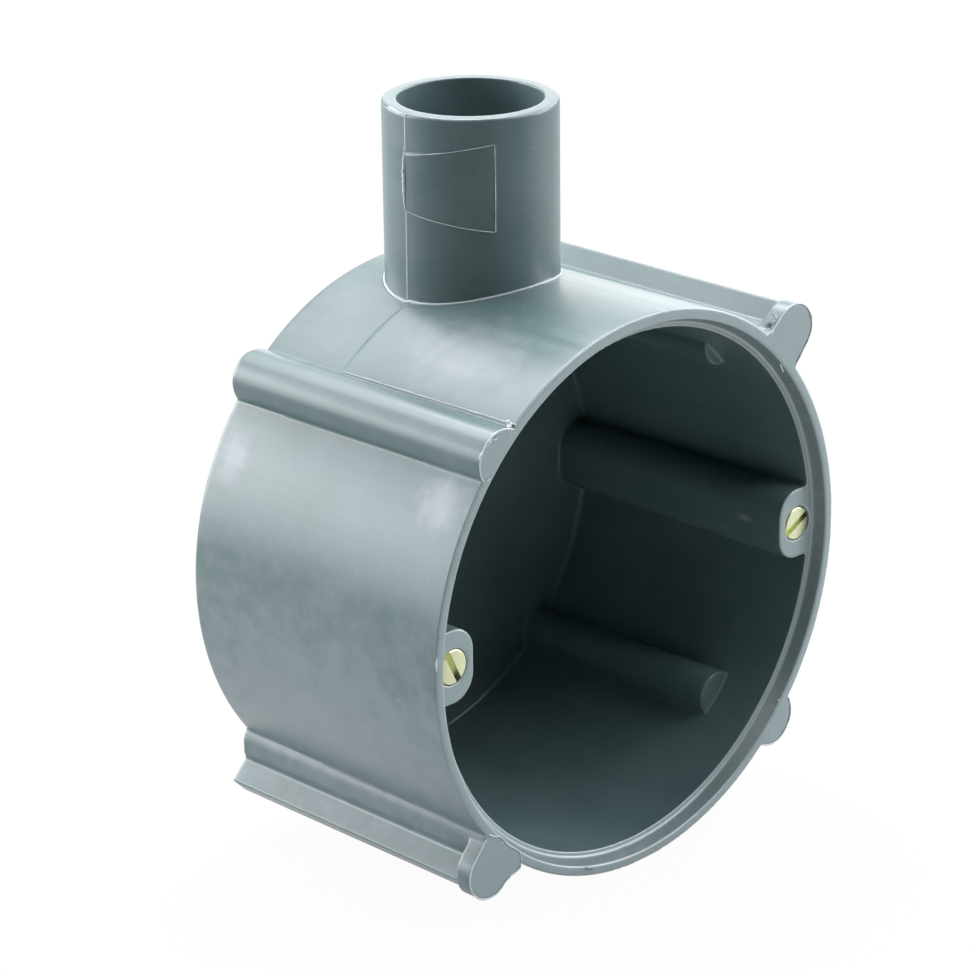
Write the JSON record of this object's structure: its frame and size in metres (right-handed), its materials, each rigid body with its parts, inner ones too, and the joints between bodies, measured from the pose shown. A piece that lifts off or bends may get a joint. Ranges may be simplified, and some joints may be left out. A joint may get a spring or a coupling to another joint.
{
  "type": "flush back box",
  "caption": "Round flush back box with a lid rebate, a conduit spout on top, device-screw posts inside and keying ribs down the outside.",
  "frame": {"origin": "centre of the flat back face, on the axis of the round cup", "axes": "the cup opens towards -Y, the back face looks towards +Y, the spout points up +Z and the screws lie to the left and right along X"},
  "size_m": [0.069, 0.0414, 0.09],
  "materials": {
    "grey_moulded_plastic": "satin moulded PVC",
    "yellow_passivated_steel": "yellow passivated zinc"
  },
  "bodies": {
    "root": {"box_body": "grey_moulded_plastic", "screw_left": "yellow_passivated_steel", "screw_right": "yellow_passivated_steel"}
  },
  "joints": []
}
